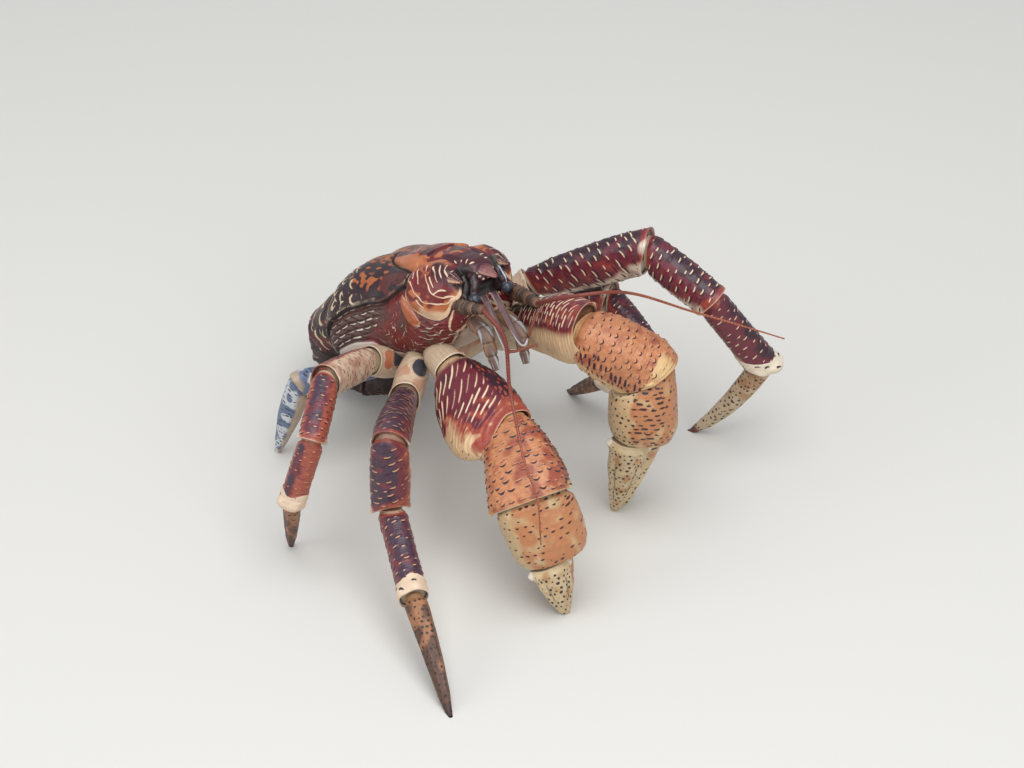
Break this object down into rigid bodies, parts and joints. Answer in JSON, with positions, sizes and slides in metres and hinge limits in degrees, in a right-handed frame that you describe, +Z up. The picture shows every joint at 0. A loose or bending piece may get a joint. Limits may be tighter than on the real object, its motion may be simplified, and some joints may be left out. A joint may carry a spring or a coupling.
{
  "type": "coconut crab",
  "caption": "Life-size still coconut crab with raised head, stalked eyes, long feelers, two heavy claws and spread walking legs, resting on its toes.",
  "frame": {"origin": "centre of the bounding box's footprint, on the ground that the toes stand on", "axes": "+X forward to the head, +Y to the animal's left, +Z up"},
  "size_m": [0.3642, 0.3932, 0.2032],
  "materials": {
    "shell": "semi-gloss maroon shell with cream and orange markings",
    "rear": "semi-gloss purple-black shell with beige and orange flecks",
    "under": "satin beige and pink underside",
    "abdomen": "satin dark brown plates with faint red dots",
    "claw": "semi-gloss orange-red with dark purple scales",
    "palm": "semi-gloss beige and orange with dark dots",
    "leg": "semi-gloss maroon with orange and cream crescents",
    "tip": "satin dark brown with orange flecks",
    "small": "satin blue-grey and beige with dark dashes",
    "eye": "glossy near black",
    "feeler": "satin red-brown"
  },
  "bodies": {
    "root": {"abdomen_1": "abdomen", "abdomen_2": "abdomen", "abdomen_3": "abdomen", "abdomen_4": "abdomen", "abdomen_5": "abdomen", "antenna_base_left": "feeler", "antenna_base_right": "feeler", "antenna_left": "feeler", "antenna_right": "feeler", "antennule_left": "small", "antennule_right": "small", "claw_left_base": "under", "claw_left_finger": "palm", "claw_left_merus": "shell", "claw_left_palm": "palm", "claw_left_wrist": "claw", "claw_right_base": "under", "claw_right_finger": "palm", "claw_right_merus": "shell", "claw_right_palm": "palm", "claw_right_wrist": "claw", "eye_left": "eye", "eye_right": "eye", "eyestalk_left": "eye", "eyestalk_right": "eye", "flank_left": "shell", "flank_right": "shell", "head_shield": "shell", "leg1_left_base": "under", "leg1_left_carpus": "leg", "leg1_left_dactyl": "tip", "leg1_left_merus": "leg", "leg1_left_propodus": "leg", "leg1_right_base": "under", "leg1_right_carpus": "leg", "leg1_right_dactyl": "tip", "leg1_right_merus": "leg", "leg1_right_propodus": "leg", "leg2_left_base": "under", "leg2_left_carpus": "leg", "leg2_left_dactyl": "tip", "leg2_left_merus": "leg", "leg2_left_propodus": "leg", "leg2_right_base": "under", "leg2_right_carpus": "leg", "leg2_right_dactyl": "tip", "leg2_right_merus": "leg", "leg2_right_propodus": "leg", "leg3_left_hand": "small", "leg3_left_upper": "small", "leg3_right_hand": "small", "leg3_right_upper": "small", "maxilliped_left": "small", "maxilliped_right": "small", "rear_shell": "rear", "sternum": "under", "tail": "small"}
  },
  "joints": []
}
